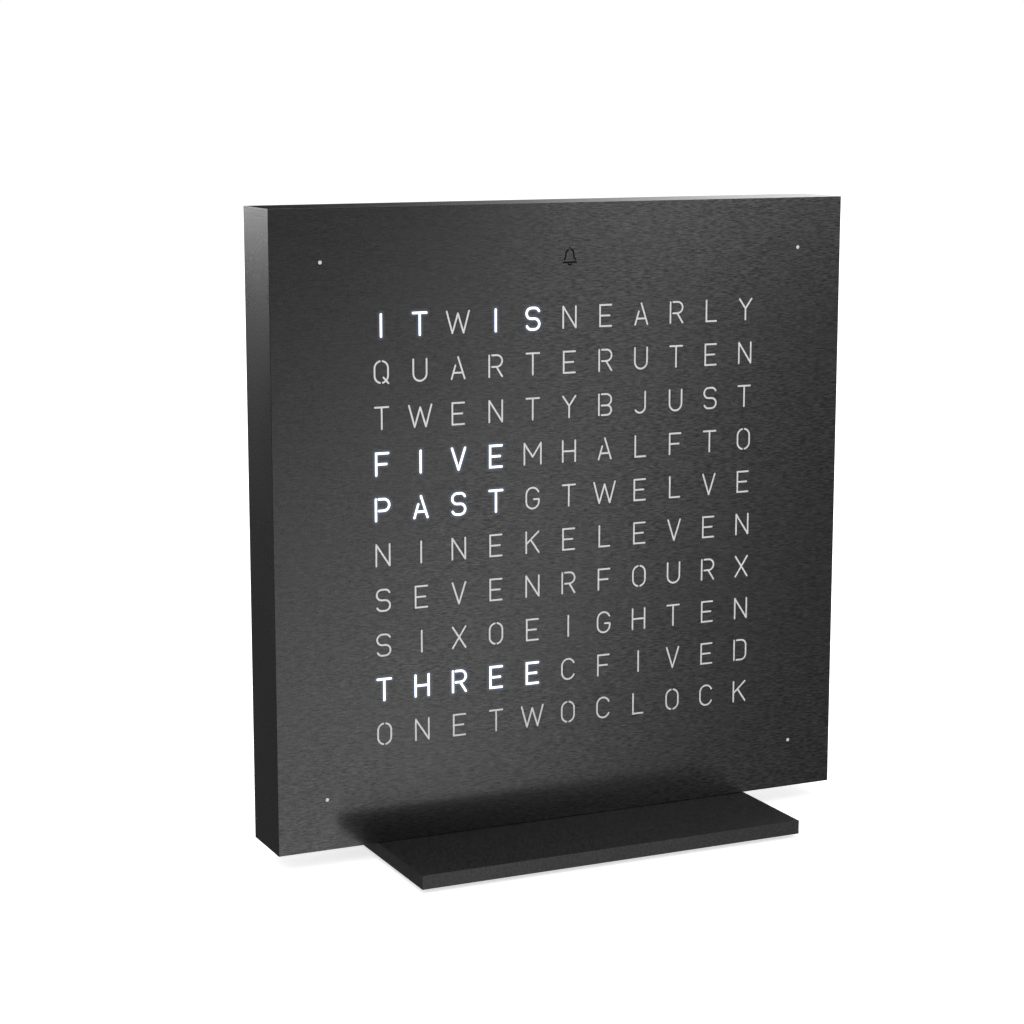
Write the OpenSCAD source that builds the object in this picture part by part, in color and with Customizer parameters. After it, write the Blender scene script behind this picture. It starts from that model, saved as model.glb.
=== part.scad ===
// Word clock for a desk: a square case that stands on an L-shaped plate stand.
// A folded metal cover slides over a moulded housing and is held on by magnets.
// Behind the cover lie an opal sheet, a grid with one light cell for each letter,
// and a board with one lamp in each cell.
// X runs to the right, Y to the back and Z up. The origin is on the ground, in the
// middle of the stand's width and of its depth.

/* [Case] */
// Width of the square face
case_w = 135; // [132:1:160]
// Height of the square face
case_h = 135; // [132:1:160]
// Distance from the face's edges in to the line of the dots, magnets and screws
border_inset = 11; // [10:0.5:12]

/* [Front cover] */
// Thickness of the cover's sheet
cover_t = 1; // [0.8:0.1:1.6]
// How much shorter the lower flange is than the others, to clear the stand's bend
flange_relief = 2; // [2:0.1:4]
// Diameter of the four minute dots
dot_d = 0.8; // [0.6:0.1:2]

/* [Time field] */
// Number of letters in a row
columns = 11; // [7:1:11]
// Number of rows of letters
rows = 10; // [6:1:10]
// Distance between the middles of neighbouring letters
column_pitch = 8.67; // [7:0.01:8.9]
// Distance between the middles of neighbouring rows
row_pitch = 9.64; // [7:0.01:9.9]

/* [Light box] */
// Space between the cover's sheet and the opal sheet
front_gap = 0.3; // [0.3:0.1:0.8]
// Thickness of the opal sheet
sheet_t = 0.6; // [0.5:0.1:1]
// Depth of the light grid
grid_d = 5.5; // [5:0.1:8]
// Thickness of the walls between the light cells
cell_wall = 0.9; // [0.7:0.1:1.4]
// Thickness of the grid's front skin around the letter cells
grid_skin = 1.2; // [0.8:0.1:1.6]
// Width of the square light cell behind each dot and behind the bell
border_cell = 7.6; // [6:0.1:8]

/* [Circuit board] */
// Thickness of the circuit board
board_t = 1.6; // [1:0.1:2]
// Free depth behind the board, for its components
room_d = 4.2; // [4.2:0.1:8]
// Width of a lamp
led_w = 3.2; // [2:0.1:3.5]
// Height of a lamp above the board
led_t = 1.2; // [0.6:0.1:1.9]

/* [Rear housing] */
// Thickness of the housing's side walls
wall_t = 1.6; // [1.2:0.1:2]
// Thickness of the housing's back wall
back_t = 1.8; // [1.4:0.1:3]
// Radius of the housing's upright corners
housing_r = 1.5; // [1:0.1:2]
// How far the ledge under the board's rim stands in from the walls
ledge_w = 1.8; // [1:0.1:2.2]
// Thickness of the stiffening ribs
rib_t = 1; // [0.8:0.1:1.5]
// Height of the stiffening ribs above the back wall
rib_h = 1.2; // [0.8:0.1:1.6]
// Distance from the face's sides in to the upright ribs
rib_inset = 26; // [24:1:28]

/* [Board screws] */
// Thread diameter of the board screws
board_screw_d = 2.5; // [2:0.1:3]
// Length of the board screws under the head
board_screw_l = 8.5; // [8:0.1:9]
// Distance from the middle to the screws in the upper and lower borders
board_screw_spread = 28; // [20:1:34]

/* [Magnets] */
// Diameter of the round magnets and of the discs that they hold
magnet_d = 8; // [6:0.5:8]
// Thickness of the magnets
magnet_t = 2.5; // [1.5:0.1:3]
// Distance from the case's middle up and down to the magnets
magnet_spread = 30; // [22:1:31]

/* [Buttons] */
// Diameter of a button
button_d = 6; // [5:0.1:7]
// How far a button stands out behind the case
button_proud = 1; // [0.8:0.1:2]
// How far a button travels when it is pressed
button_travel = 0.5; // [0.3:0.05:0.6]
// Distance between neighbouring buttons
button_pitch = 14; // [12:0.5:16]
// Height of the buttons above the case's middle
button_v = 42; // [38:0.5:44]
// Thickness of the collar that keeps a button in
collar_t = 0.8; // [0.6:0.1:1]
// Depth of the shallow recess around the buttons
recess_d = 0.5; // [0.3:0.1:0.7]

/* [Power inlet] */
// Distance from the case's middle down to the power inlet
jack_drop = 43; // [42:0.5:44]
// Bore of the power inlet
jack_bore_d = 5.6; // [5:0.1:6]
// Depth of that bore
jack_bore_l = 9.5; // [8.5:0.1:9.5]
// Diameter of the pin in its middle
jack_pin_d = 2.1; // [1.7:0.1:2.5]
// Width of the inlet's body
jack_w = 9; // [8.6:0.1:9.4]

/* [Sounder] */
// Diameter of the sounder
sounder_d = 14; // [10:0.5:15]
// Diameter of a sound hole
sound_hole_d = 1.4; // [1:0.1:1.8]
// Distance between the rings of sound holes
sound_pitch = 2.6; // [2.4:0.1:2.8]

/* [Backup cell] */
// Diameter of the coin cell that keeps the time
cell_d = 20; // [12:1:20]
// Thickness of the coin cell
cell_t = 1.6; // [1.2:0.1:2]

/* [Stand] */
// Width of the stand
stand_w = 90; // [76:1:98]
// Thickness of the stand's plate
stand_t = 3; // [2.5:0.1:4]
// How far the foot reaches in front of the face
foot_reach = 24; // [18:0.5:40]
// Height of the leg behind the case
leg_h = 60; // [46:1:66]
// Radius of the leg's upper corners
leg_r = 6; // [3:0.5:12]
// Inside radius of the stand's bend
bend_r = 1; // [0.5:0.1:1.5]
// Distance from the leg's sides and top in to its screws
stand_screw_inset = 12; // [9:0.5:14]
// Height of the lower stand screws above the case's underside
stand_screw_low = 18; // [12:0.5:20]
// Thread diameter of the stand screws
stand_screw_d = 3; // [2.5:0.1:3]
// Length of the stand screws, with their head
stand_screw_l = 7; // [6.5:0.1:8]
// Length of the threaded inserts
insert_l = 4.2; // [3.5:0.1:4.4]

/* [Pads] */
// Width of a pad under the foot
pad_w = 20; // [10:0.5:26]
// Depth of a pad
pad_d = 8; // [6:0.5:9]
// Thickness of a pad
pad_t = 1; // [0.8:0.1:2]
// Distance from the foot's edges in to the pads
pad_inset = 6; // [5:0.5:7]

/* [Clearances] */
// Between the cover's flanges and the housing
slide_clear = 0.2; // [0.2:0.05:0.4]
// Between the cover's underside and the foot
foot_clear = 0.05; // [0.05:0.05:0.5]
// Around the parts that lie in the housing
fit_clear = 0.2; // [0.1:0.05:0.3]
// Between a magnet and its disc
magnet_gap = 0.2; // [0.15:0.05:0.3]
// Around a screw in its thread
thread_clear = 0.05; // [0.03:0.01:0.1]

/* [Hidden] */
$fn = 64;
bite = 1;  // how far a cutting shape runs past the face that it cuts

// Depths behind the face
sheet_y = cover_t + front_gap;
grid_y = sheet_y + sheet_t;
board_y = grid_y + grid_d;
room_y = board_y + board_t;
wall_y = room_y + room_d;
case_d = wall_y + back_t;

// Places
total_d = foot_reach + case_d + stand_t;
face_y = -total_d / 2 + foot_reach;
foot_z = pad_t + stand_t;
case_z = foot_z + foot_clear;
mid_z = case_z + case_h / 2;
border_u = case_w / 2 - border_inset;
border_v = case_h / 2 - border_inset;

// Sizes that nest in each other
housing_w = case_w - 2 * cover_t - 2 * slide_clear;
housing_h = case_h - 2 * cover_t - 2 * slide_clear;
inner_w = housing_w - 2 * wall_t;
inner_h = housing_h - 2 * wall_t;
light_w = inner_w - 2 * fit_clear;
light_h = inner_h - 2 * fit_clear;
field_w = columns * column_pitch + cell_wall;
field_h = rows * row_pitch + cell_wall;

// Board screws
board_screw_places = [
    [-border_u, 0], [border_u, 0],
    [-board_screw_spread, border_v], [board_screw_spread, border_v],
    [-board_screw_spread, -border_v], [board_screw_spread, -border_v]
];
board_head_d = board_screw_d * 1.9;
board_head_t = 1.5;
screw_head_y = grid_y + fit_clear;
screw_seat_y = screw_head_y + board_head_t;
screw_slot_w = 0.6;
screw_pass_d = board_screw_d + 2 * fit_clear;
grid_boss_d = board_head_d + 2 * fit_clear + 2 * cell_wall;
housing_boss_d = board_screw_d + 4;

// Magnets and the discs on the cover
magnet_places = [for (u = [-border_u, border_u], v = [-magnet_spread, magnet_spread]) [u, v]];
magnet_sink = 0.1;
magnet_y = grid_y + magnet_sink;
disc_t = front_gap + sheet_t + magnet_sink - magnet_gap;

// Buttons
button_places = [for (i = [-1 : 1]) [i * button_pitch, button_v]];
collar_d = button_d + 2.4;
collar_land = 0.8;  // between the collars' bores and the edge of the recess
tip_edge = 0.3;     // chamfer around a button's outer end
collar_y = wall_y - collar_t;
switch_w = 4.5;
switch_h = 2.2;
switch_floor = 0.5;
plunger_d = 2.4;
plunger_rest = 0.1;  // what is left under a plunger when its button is pressed home
plunger_y = room_y + switch_floor + button_travel + plunger_rest;

// Power inlet
jack_wall = 0.9;
jack_barrel_d = jack_w - 1;
jack_place = [border_u, -jack_drop];
jack_front_y = case_d - jack_bore_l - jack_wall;
jack_flange_w = jack_w + 2.4;
jack_flange_t = 1;
pin_sink = 1;  // how far the pin's end stays inside the bore

// Height of the rib that runs across, above the case's middle
rib_v = 1.5;

// Sounder, backup cell and chips
sounder_place = [-38, 42];
sounder_t = 3.6;
sounder_port_d = 2;
cell_place = [0, -35];
cell_floor = 0.8;
cell_lip = 0.6;  // how far the holder's rim stands above the cell
holder_wall = 1.4;
controller_place = [0, 14];
driver_places = [[-30, 18], [30, 18], [-16, -5], [16, -5]];
time_chip_place = [-13, 28];
crystal_place = [1, 28];
crystal_d = 2;
crystal_l = 6;
regulator_place = [border_u - 6.5, -18];
capacitor_places = [[border_u - 7.5, 16], [border_u - 7.5, 24]];
capacitor_size = [7.3, 4.3, 2.9];

// Stand
stand_screw_u = stand_w / 2 - stand_screw_inset;
stand_screw_places = [
    for (u = [-stand_screw_u, stand_screw_u], h = [stand_screw_low, leg_h - stand_screw_inset])
        [u, h - case_h / 2]
];
insert_d = stand_screw_d + 1.6;
insert_boss_d = insert_d + 3.4;
insert_boss_l = insert_l + 0.5;
stand_head_d = stand_screw_d * 2;
stand_head_t = (stand_head_d - stand_screw_d) / 2;
leg_y = face_y + case_d;
back_y = leg_y + stand_t;
pad_r = 2;
pad_back_edge = 0.5;  // between the rear pads and the start of the bend

// ---- Helpers ----------------------------------------------------------------

// Extrudes what is drawn on the face's plane, from one depth behind the face to another
module layer(from, to) {
    translate([0, face_y + to, mid_z])
        rotate([90, 0, 0])
            linear_extrude(to - from) children();
}

// A rectangle with round corners
module round_rect(w, h, r) {
    square([w - 2 * r, h], center = true);
    square([w, h - 2 * r], center = true);
    for (x = [-1, 1], y = [-1, 1])
        translate([x * (w / 2 - r), y * (h / 2 - r)]) circle(r);
}

// Puts a copy of its children at each of the places
module at(places) {
    for (p = places) translate(p) children();
}

// The middles of the light cells behind the letters
function cell_places() = [
    for (c = [0 : columns - 1], r = [0 : rows - 1])
        [(c - (columns - 1) / 2) * column_pitch, (r - (rows - 1) / 2) * row_pitch]
];

// The middles of the four cells behind the dots and of the one behind the bell
function border_cell_places() = [
    [-border_u, -border_v], [border_u, -border_v],
    [-border_u, border_v], [border_u, border_v], [0, border_v]
];

// A small chip: a body with a row of legs on its left and right
module chip(place, w, h, t, legs, leg_pitch) {
    leg_l = 0.9;
    leg_w = leg_pitch * 0.45;
    leg_t = 0.25;
    lift = 0.1;  // of the body above the board
    layer(room_y + lift, room_y + t) translate(place) square([w, h], center = true);
    layer(room_y, room_y + leg_t)
        translate(place)
            for (i = [0 : legs - 1])
                translate([0, (i - (legs - 1) / 2) * leg_pitch])
                    square([w + 2 * leg_l, leg_w], center = true);
}

// ---- The case ---------------------------------------------------------------

module front_cover() color([0.13, 0.13, 0.14]) {
    difference() {
        layer(0, case_d) square([case_w, case_h], center = true);
        layer(cover_t, case_d + bite)
            square([case_w - 2 * cover_t, case_h - 2 * cover_t], center = true);
        layer(case_d - flange_relief, case_d + bite)
            translate([0, -case_h / 2])
                square([case_w - 2 * cover_t, 2 * cover_t + bite], center = true);
        layer(-bite, cover_t + bite)
            for (u = [-border_u, border_u], v = [-border_v, border_v])
                translate([u, v]) circle(d = dot_d);
    }
}

module cover_discs() color("silver")
    layer(cover_t, cover_t + disc_t) at(magnet_places) circle(d = magnet_d);

// The housing's ribs: two upright ones and one across, all clear of the tall components
module housing_ribs() {
    rib_u = case_w / 2 - rib_inset;
    layer(wall_y - rib_h, wall_y) {
        for (u = [-rib_u, rib_u]) translate([u, 0]) square([rib_t, inner_h], center = true);
        translate([0, rib_v]) square([inner_w, rib_t], center = true);
    }
}

module button_recess_outline() {
    r = collar_d / 2 + collar_land;
    square([2 * button_pitch, 2 * r], center = true);
    for (side = [-1, 1]) translate([side * button_pitch, 0]) circle(r);
}

module rear_housing() color([0.1, 0.1, 0.11]) {
    chamber_d = sounder_d + 2 * fit_clear;
    difference() {
        union() {
            layer(wall_y, case_d) round_rect(housing_w, housing_h, housing_r);
            // Side walls, with a ledge that the board's rim lies on
            layer(sheet_y, case_d) difference() {
                round_rect(housing_w, housing_h, housing_r);
                square([inner_w, inner_h], center = true);
            }
            layer(room_y, case_d) difference() {
                round_rect(housing_w, housing_h, housing_r);
                square([inner_w - 2 * ledge_w, inner_h - 2 * ledge_w], center = true);
            }
            // Bosses for the board screws and for the stand's threaded inserts
            layer(room_y, case_d) at(board_screw_places) circle(d = housing_boss_d);
            layer(case_d - insert_boss_l, case_d)
                at(stand_screw_places) circle(d = insert_boss_d);
            // Guides around the buttons, and the wall of the sounder's chamber
            layer(wall_y - rib_h, case_d) at(button_places) circle(d = collar_d + 3);
            layer(wall_y - rib_h, case_d)
                translate(sounder_place) circle(d = chamber_d + 2 * rib_t);
            housing_ribs();
        }
        layer(grid_y, screw_seat_y + board_screw_l + fit_clear)
            at(board_screw_places) circle(d = board_screw_d + 2 * thread_clear);
        layer(case_d - insert_l, case_d + bite) at(stand_screw_places) circle(d = insert_d);
        // Bores and seats of the buttons
        layer(room_y, case_d + bite) at(button_places) circle(d = button_d + 2 * fit_clear);
        layer(room_y, wall_y) at(button_places) circle(d = collar_d + 2 * fit_clear);
        layer(case_d - recess_d, case_d + bite)
            translate([0, button_v]) button_recess_outline();
        // Chamber and sound holes
        layer(room_y, wall_y) translate(sounder_place) circle(d = chamber_d);
        layer(wall_y - bite, case_d + bite) translate(sounder_place) {
            circle(d = sound_hole_d);
            for (ring = [1, 2], i = [0 : 6 * ring - 1])
                rotate(i * 60 / ring) translate([ring * sound_pitch, 0]) circle(d = sound_hole_d);
        }
        layer(room_y, case_d + bite)
            translate(jack_place) circle(d = jack_barrel_d + 2 * fit_clear);
    }
}

// ---- The light box ----------------------------------------------------------

module opal_sheet() color([0.93, 0.94, 0.95])
    layer(sheet_y, grid_y) difference() {
        square([light_w, light_h], center = true);
        at(magnet_places) circle(d = magnet_d + 1);
    }

// Walls around a square cell of the border
module border_cell_walls() {
    w = border_cell + 2 * cell_wall;
    at(border_cell_places()) square([w, w], center = true);
}

module light_grid() color([0.85, 0.86, 0.88]) {
    cup_d = magnet_d + 2 * fit_clear + 2 * cell_wall;
    jack_pocket_w = jack_w + 2 * fit_clear;
    skin_y = grid_y + grid_skin;
    difference() {
        union() {
            layer(grid_y, skin_y) square([light_w, light_h], center = true);
            layer(grid_y, board_y) {
                difference() {
                    square([light_w, light_h], center = true);
                    square([light_w - 2 * cell_wall, light_h - 2 * cell_wall], center = true);
                }
                square([field_w, field_h], center = true);
                border_cell_walls();
                at(board_screw_places) circle(d = grid_boss_d);
            }
            layer(grid_y, magnet_y + magnet_t + grid_skin) at(magnet_places) circle(d = cup_d);
        }
        layer(grid_y - bite, board_y + bite) {
            at(cell_places())
                square([column_pitch - cell_wall, row_pitch - cell_wall], center = true);
            at(border_cell_places()) square([border_cell, border_cell], center = true);
            at(board_screw_places) circle(d = screw_pass_d);
        }
        layer(grid_y - bite, screw_seat_y)
            at(board_screw_places) circle(d = board_head_d + 2 * fit_clear);
        layer(grid_y - bite, magnet_y + magnet_t)
            at(magnet_places) circle(d = magnet_d + 2 * fit_clear);
        layer(skin_y, board_y + bite)
            translate(jack_place) square([jack_pocket_w, jack_pocket_w], center = true);
    }
}

module housing_magnets() color([0.72, 0.72, 0.74])
    layer(magnet_y, magnet_y + magnet_t) at(magnet_places) circle(d = magnet_d);

// ---- The circuit board and what is on it -----------------------------------

module led_board() color([0.07, 0.25, 0.13])
    layer(board_y, room_y) difference() {
        square([light_w, light_h], center = true);
        at(board_screw_places) circle(d = screw_pass_d);
        translate(jack_place) square([jack_w + 2 * fit_clear, jack_w + 2 * fit_clear], center = true);
    }

module leds() color([0.97, 0.95, 0.86])
    layer(board_y - led_t, board_y)
        at(concat(cell_places(), border_cell_places())) square([led_w, led_w], center = true);

module led_drivers() color([0.16, 0.16, 0.17])
    for (p = driver_places) chip(p, 5.4, 8.2, 1.7, 12, 0.65);

module controller_chip() color([0.14, 0.14, 0.15]) {
    chip(controller_place, 10, 10, 1.4, 11, 0.8);
}

module time_chip() color([0.18, 0.18, 0.19])
    chip(time_chip_place, 4, 5, 1.5, 4, 1.27);

module clock_crystal() color([0.8, 0.8, 0.78])
    translate([crystal_place[0], face_y + room_y + crystal_d / 2, mid_z + crystal_place[1]])
        rotate([0, 90, 0]) cylinder(h = crystal_l, d = crystal_d, center = true);

module cell_holder() color([0.9, 0.87, 0.8]) {
    hole_d = cell_d + 2 * fit_clear;
    outer_d = hole_d + 2 * holder_wall;
    difference() {
        layer(room_y, room_y + cell_floor + cell_t + cell_lip)
            translate(cell_place) {
                circle(d = outer_d);
                square([outer_d / 2, outer_d + 2], center = true);
            }
        layer(room_y + cell_floor, wall_y) translate(cell_place) circle(d = hole_d);
    }
}

module backup_cell() color("silver")
    layer(room_y + cell_floor, room_y + cell_floor + cell_t)
        translate(cell_place) circle(d = cell_d);

module sounder() color([0.12, 0.12, 0.12]) {
    difference() {
        layer(room_y, room_y + sounder_t) translate(sounder_place) circle(d = sounder_d);
        layer(room_y + sounder_t / 2, wall_y)
            translate(sounder_place) circle(d = sounder_port_d);
    }
}

module power_jack() color([0.08, 0.08, 0.09]) {
    difference() {
        union() {
            layer(jack_front_y, wall_y)
                translate(jack_place) square([jack_w, jack_w], center = true);
            layer(room_y, room_y + jack_flange_t)
                translate(jack_place) square([jack_flange_w, jack_flange_w], center = true);
            layer(room_y, case_d) translate(jack_place) circle(d = jack_barrel_d);
        }
        layer(case_d - jack_bore_l, case_d + bite)
            translate(jack_place) circle(d = jack_bore_d);
    }
}

module jack_pin() color([0.83, 0.68, 0.35])
    layer(case_d - jack_bore_l, case_d - pin_sink)
        translate(jack_place) circle(d = jack_pin_d);

// A power regulator: a body with a broad cooling tab on one side and two legs on the other
module voltage_regulator() color([0.15, 0.15, 0.16]) {
    body = [6, 6.5, 2.3];
    tab = [2.4, 5.4, 0.5];
    leg_w = 0.8;
    leg_v = 2.3;
    tab_u = body[0] / 2 + 1;
    layer(room_y, room_y + body[2])
        translate(regulator_place) square([body[0], body[1]], center = true);
    layer(room_y, room_y + tab[2])
        translate(regulator_place) {
            translate([-tab_u, 0]) square([tab[0], tab[1]], center = true);
            for (v = [-leg_v, leg_v]) translate([tab_u, v]) square([tab[0], leg_w], center = true);
        }
}

module smoothing_capacitors() color([0.75, 0.6, 0.2])
    layer(room_y, room_y + capacitor_size[2])
        at(capacitor_places) square([capacitor_size[0], capacitor_size[1]], center = true);

module tact_switches() color([0.3, 0.3, 0.31]) {
    difference() {
        layer(room_y, room_y + switch_h)
            at(button_places) square([switch_w, switch_w], center = true);
        layer(room_y + switch_floor, wall_y)
            at(button_places) circle(d = plunger_d + 2 * fit_clear);
    }
}

module board_screws() color([0.7, 0.71, 0.73]) {
    slot_l = board_head_d * 0.55;
    difference() {
        union() {
            layer(screw_head_y, screw_seat_y) at(board_screw_places) circle(d = board_head_d);
            layer(screw_seat_y, screw_seat_y + board_screw_l)
                at(board_screw_places) circle(d = board_screw_d);
        }
        layer(screw_head_y - bite, screw_head_y + board_head_t * 0.6)
            at(board_screw_places) {
                square([slot_l, screw_slot_w], center = true);
                square([screw_slot_w, slot_l], center = true);
            }
    }
}

// ---- Buttons ---------------------------------------------------------------

// A button: a collar inside the wall, a round shank through it and a chamfered tip
module button(place) color([0.17, 0.17, 0.18]) {
    tip_y = case_d + button_proud;
    layer(collar_y, wall_y) translate(place) circle(d = collar_d);
    layer(wall_y, tip_y - tip_edge) translate(place) circle(d = button_d);
    translate([place[0], face_y + tip_y - tip_edge, mid_z + place[1]])
        rotate([-90, 0, 0])
            cylinder(h = tip_edge, d1 = button_d, d2 = button_d - 2 * tip_edge);
}

module plunger(place) color([0.9, 0.9, 0.88])
    layer(plunger_y, collar_y) translate(place) circle(d = plunger_d);

module minus_button() button(button_places[0]);
module set_button() button(button_places[1]);
module plus_button() button(button_places[2]);
module minus_plunger() plunger(button_places[0]);
module set_plunger() plunger(button_places[1]);
module plus_plunger() plunger(button_places[2]);

// ---- Stand -----------------------------------------------------------------

// The stand's plate seen from its side: Y runs to the right here and Z up
module stand_profile() {
    outer_r = bend_r + stand_t;
    translate([-total_d / 2, pad_t]) square([total_d - outer_r, stand_t]);
    translate([leg_y, pad_t + outer_r]) square([stand_t, leg_h + stand_t - outer_r]);
    translate([back_y - outer_r, pad_t + outer_r]) intersection() {
        difference() {
            circle(outer_r);
            circle(bend_r);
        }
        translate([0, -outer_r]) square(outer_r);
    }
}

// One countersunk hole through the leg, from behind
module stand_screw_hole() {
    hole_d = stand_screw_d + 2 * fit_clear;
    rotate([90, 0, 0]) {
        translate([0, 0, -bite]) cylinder(h = stand_t + 2 * bite, d = hole_d);
        cylinder(h = stand_head_t, d1 = stand_head_d + 2 * fit_clear, d2 = hole_d);
    }
}

module stand() color([0.09, 0.09, 0.1]) {
    difference() {
        translate([-stand_w / 2, 0, 0])
            rotate([90, 0, 90]) linear_extrude(stand_w) stand_profile();
        // Round upper corners of the leg
        for (side = [-1, 1])
            translate([side * (stand_w / 2 - leg_r), back_y + bite, foot_z + leg_h - leg_r])
                rotate([90, 0, 0]) linear_extrude(stand_t + 2 * bite) difference() {
                    translate([side > 0 ? 0 : -leg_r - bite, 0]) square(leg_r + bite);
                    circle(leg_r);
                }
        for (p = stand_screw_places)
            translate([p[0], back_y, mid_z + p[1]]) stand_screw_hole();
    }
}

module stand_inserts() color([0.83, 0.68, 0.35])
    layer(case_d - insert_l, case_d) at(stand_screw_places) difference() {
        circle(d = insert_d);
        circle(d = stand_screw_d + 2 * thread_clear);
    }

module stand_screws() color([0.12, 0.12, 0.13]) {
    socket_w = stand_screw_d * 0.77;
    socket_l = stand_head_t * 0.8;
    for (p = stand_screw_places)
        translate([p[0], back_y, mid_z + p[1]]) rotate([90, 0, 0]) difference() {
            union() {
                cylinder(h = stand_screw_l, d = stand_screw_d);
                cylinder(h = stand_head_t, d1 = stand_head_d, d2 = stand_screw_d);
            }
            translate([0, 0, -bite]) cylinder(h = bite + socket_l, d = socket_w, $fn = 6);
        }
}

module foot_pads() color([0.2, 0.2, 0.2]) {
    pad_u = stand_w / 2 - pad_inset - pad_w / 2;
    front_y = -total_d / 2 + pad_inset + pad_d / 2;
    rear_y = back_y - stand_t - bend_r - pad_back_edge - pad_d / 2;
    for (x = [-pad_u, pad_u], y = [front_y, rear_y])
        translate([x, y, 0]) linear_extrude(pad_t) round_rect(pad_w, pad_d, pad_r);
}

rear_housing();
light_grid();
opal_sheet();
led_board();
leds();
led_drivers();
controller_chip();
time_chip();
clock_crystal();
cell_holder();
backup_cell();
sounder();
power_jack();
jack_pin();
voltage_regulator();
smoothing_capacitors();
tact_switches();
board_screws();
housing_magnets();
stand_inserts();
stand();
stand_screws();
foot_pads();
front_cover();
cover_discs();
set_button();
plus_button();
minus_button();
set_plunger();
plus_plunger();
minus_plunger();
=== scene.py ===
"""Word clock for a desk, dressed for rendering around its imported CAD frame.

A folded, brushed metal cover has eleven by ten letters cut through it, and resin
inlays fill the cut letters flush. Some of them are lit, and spell out the time.
The cover slides over a moulded housing, on a plate stand bent from one strip.
Every operator below makes one piece, one group of like pieces or the stage.
"""

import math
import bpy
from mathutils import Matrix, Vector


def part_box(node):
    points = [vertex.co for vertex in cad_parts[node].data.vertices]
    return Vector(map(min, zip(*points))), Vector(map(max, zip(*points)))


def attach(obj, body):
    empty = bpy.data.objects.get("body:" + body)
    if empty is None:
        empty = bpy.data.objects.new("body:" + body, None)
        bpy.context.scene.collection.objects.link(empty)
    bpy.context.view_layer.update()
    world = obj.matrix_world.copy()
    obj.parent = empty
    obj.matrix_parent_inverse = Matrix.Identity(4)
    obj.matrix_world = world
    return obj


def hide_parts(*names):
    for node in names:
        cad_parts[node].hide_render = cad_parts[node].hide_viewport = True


bl_info = {
    "name": "Word Clock",
    "version": (1, 0, 0),
    "blender": (4, 5, 0),
    "location": "3D View > Sidebar > Word Clock",
    "description": "Dresses a desk word clock's CAD frame with its cover and letters",
    "category": "Add Mesh",
}

import bmesh
import bpy
from bpy.props import FloatProperty, FloatVectorProperty, IntProperty, PointerProperty
from mathutils import Matrix, Vector

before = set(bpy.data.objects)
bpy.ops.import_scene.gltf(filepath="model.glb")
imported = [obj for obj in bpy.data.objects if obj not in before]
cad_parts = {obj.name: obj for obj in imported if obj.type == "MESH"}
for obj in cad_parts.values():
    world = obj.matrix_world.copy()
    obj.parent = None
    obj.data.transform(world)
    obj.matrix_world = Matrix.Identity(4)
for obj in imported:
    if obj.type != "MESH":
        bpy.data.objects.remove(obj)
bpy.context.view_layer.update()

MM = 0.001
COVER_LO, COVER_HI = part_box("front_cover")
FACE_Y = COVER_LO.y
FACE_MIDDLE_Z = (COVER_LO.z + COVER_HI.z) / 2
FLOOR_DROP = 0.02 * MM               # keeps the floor off the underside of the pads
OVERCUT = 0.5 * MM                   # how far a cutting tool stands out of the sheet


# ---- Sizes and colours that a user would change ----


class LetteringSettings(bpy.types.PropertyGroup):
    """Sizes of the letters that are cut through the cover"""

    # The bright rim is painted glow: a film of lit resin over the metal round a lit letter,
    # wider than its cut
    rim: FloatProperty(
        name="Bright Rim", description="Width of the rim of resin around a lit letter",
        default=0.04 * MM, min=0.02 * MM, max=0.4 * MM, subtype="DISTANCE", precision=5)
    halo: FloatProperty(
        name="Halo Step", description="Width of each step in which the glow fades",
        default=0.22 * MM, min=0.1 * MM, max=0.5 * MM, subtype="DISTANCE", precision=5)
    stroke: FloatProperty(
        name="Stroke", description="Width of a cut stroke",
        default=0.40 * MM, min=0.2 * MM, max=1.2 * MM, subtype="DISTANCE", precision=5)
    height: FloatProperty(
        name="Height", description="Height of a capital letter, outside its strokes",
        default=4.95 * MM, min=3 * MM, max=8 * MM, subtype="DISTANCE", precision=5)
    width: FloatProperty(
        name="Width", description="Width of a plain letter, outside its strokes",
        default=3.4 * MM, min=2 * MM, max=6 * MM, subtype="DISTANCE", precision=5)
    column_pitch: FloatProperty(
        name="Column Pitch", description="Distance between the middles of two columns",
        default=8.67 * MM, min=6 * MM, max=9 * MM, subtype="DISTANCE", precision=5)
    row_pitch: FloatProperty(
        name="Row Pitch", description="Distance between the middles of two rows",
        default=9.64 * MM, min=6 * MM, max=10 * MM, subtype="DISTANCE", precision=5)
    drop: FloatProperty(
        name="Drop", description="How far the letters' field sits under the middle",
        default=0.2 * MM, min=-2 * MM, max=2 * MM, subtype="DISTANCE", precision=5)
    border: FloatProperty(
        name="Border", description="Distance from the face's edges in to the dots",
        default=11 * MM, min=8 * MM, max=14 * MM, subtype="DISTANCE", precision=5)
    dot: FloatProperty(
        name="Dot", description="Diameter of a minute dot",
        default=0.8 * MM, min=0.4 * MM, max=2 * MM, subtype="DISTANCE", precision=5)
    bell_stroke: FloatProperty(
        name="Bell Stroke", description="Width of the strokes of the bell",
        default=0.36 * MM, min=0.2 * MM, max=0.8 * MM, subtype="DISTANCE", precision=5)
    sink: FloatProperty(
        name="Sink", description="How far the inlays stay under the cover's surface",
        default=0.04 * MM, min=0.0, max=0.4 * MM, subtype="DISTANCE", precision=6)


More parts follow.
